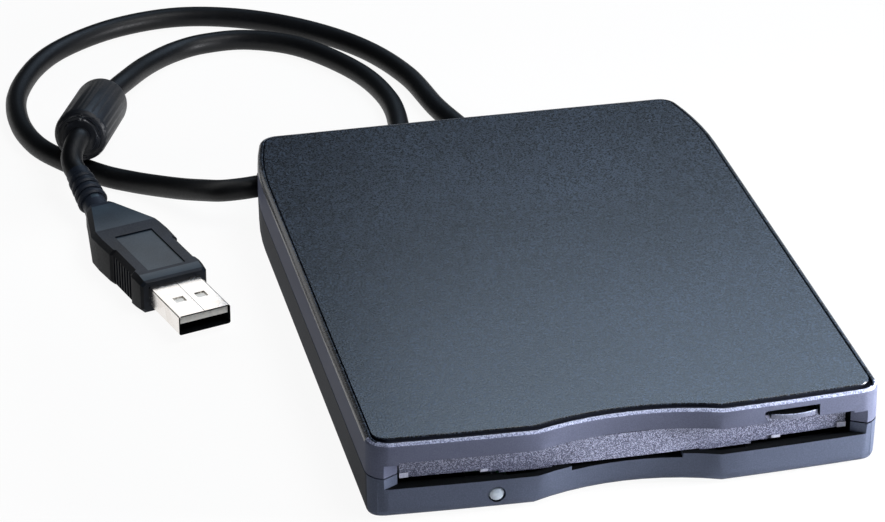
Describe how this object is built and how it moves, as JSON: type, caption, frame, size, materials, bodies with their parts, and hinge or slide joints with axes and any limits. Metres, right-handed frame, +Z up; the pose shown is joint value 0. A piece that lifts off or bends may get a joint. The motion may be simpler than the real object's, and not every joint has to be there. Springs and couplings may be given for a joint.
{
  "type": "external floppy disk drive",
  "caption": "Slim external floppy disk drive with a sprung slot door, an eject button, a lamp lens and a fixed lead that carries a ferrite core and a flat plug.",
  "frame": {"origin": "on the surface that the drive stands on, below the middle of the housing", "axes": "+X to the drive's right seen from the slot, -Y out of the slot, +Z up"},
  "size_m": [0.152, 0.2476, 0.0179],
  "materials": {
    "cover_plastic": "fine grain",
    "case_plastic": "satin",
    "door_plastic": "coarse sparkle",
    "button_plastic": "satin",
    "lens_plastic": "clear polish",
    "rubber": "matt",
    "spring_steel": "drawn",
    "screw_steel": "black nickel",
    "zinc_sheet": "plated sheet",
    "aluminium": "turned",
    "board": "solder resist",
    "copper": "enamelled wire",
    "bronze": "sintered",
    "black_plastic": "moulded",
    "ceramic_head": "lapped",
    "film": "flat cable",
    "cord_pvc": "satin",
    "plug_pvc": "satin",
    "plug_steel": "nickel plated",
    "plug_white": "moulded",
    "gold": "plated"
  },
  "bodies": {
    "housing": {"top_cover": "cover_plastic", "bottom_case": "case_plastic", "door_spring": "spring_steel", "led_lens": "lens_plastic", "rubber_feet": "rubber", "case_screws": "screw_steel", "cable_bush": "black_plastic", "drive_chassis": "zinc_sheet", "chassis_screws": "screw_steel", "spindle_board": "board", "stator_coils": "copper", "spindle_bearing": "bronze", "stepper_motor": "zinc_sheet", "guide_rod": "spring_steel", "rod_clamps": "zinc_sheet", "eject_spring_left": "spring_steel", "eject_spring_right": "spring_steel", "lever_pin": "spring_steel", "sensor_switches": "black_plastic", "lamp_emitter": "lens_plastic", "usb_board": "board", "bridge_chip": "black_plastic", "flat_cable": "film", "usb_cord": "cord_pvc", "ferrite_core": "cord_pvc", "usb_cord_tail": "cord_pvc", "plug_overmold": "plug_pvc", "plug_shell": "plug_steel", "plug_insert": "plug_white", "plug_contacts": "gold"},
    "door": {"slot_door": "door_plastic"},
    "eject": {"eject_button": "button_plastic", "eject_slider": "zinc_sheet"},
    "holder": {"disk_holder": "zinc_sheet"},
    "carriage": {"head_carriage": "black_plastic", "lower_head": "ceramic_head", "arm_pin": "spring_steel"},
    "arm": {"head_arm": "zinc_sheet", "upper_head": "ceramic_head"},
    "screw": {"lead_screw": "screw_steel"},
    "spindle": {"spindle_rotor": "aluminium"},
    "lever": {"shutter_lever": "zinc_sheet"}
  },
  "joints": [
    {"name": "door_hinge", "type": "hinge", "parent": "housing", "child": "door", "pos_m": [0, -0.06586, 0.01265], "axis": [1, 0, 0], "range_deg": [0, 88], "stiffness_Nm_per_rad": 0.0004, "springref_deg": -20.05},
    {"name": "eject_slide", "type": "slide", "parent": "housing", "child": "eject", "axis": [0, -1, 0], "range_m": [0, 0.0045], "deforming": ["eject_spring_left", "eject_spring_right"]},
    {"name": "holder_drop", "type": "slide", "parent": "housing", "child": "holder", "axis": [0, 0, -1], "range_m": [0, 0.0018]},
    {"name": "carriage_slide", "type": "slide", "parent": "housing", "child": "carriage", "axis": [0, -1, 0], "range_m": [0, 0.0148]},
    {"name": "arm_hinge", "type": "hinge", "parent": "carriage", "child": "arm", "pos_m": [0, 0.051, 0.0129], "axis": [1, 0, 0], "range_deg": [0, 6.5]},
    {"name": "screw_turn", "type": "hinge", "parent": "housing", "child": "screw", "pos_m": [0.022, 0.04, 0.0076], "axis": [0, 1, 0], "range_deg": [0, 1780]},
    {"name": "spindle_turn", "type": "hinge", "parent": "housing", "child": "spindle", "pos_m": [0, -0.019, 0.004], "axis": [0, 0, 1], "continuous": true},
    {"name": "lever_swing", "type": "hinge", "parent": "housing", "child": "lever", "pos_m": [-0.036, 0.035, 0.008], "axis": [0, 0, 1], "range_deg": [0, 60], "stiffness_Nm_per_rad": 0.0004, "springref_deg": -11.46}
  ],
  "couplings": [
    {"joint": "holder_drop", "follows": "eject_slide", "ratio": 0.4},
    {"joint": "arm_hinge", "follows": "eject_slide", "rad_per_m": 25.2},
    {"joint": "screw_turn", "follows": "carriage_slide", "rad_per_m": 2094.4}
  ]
}
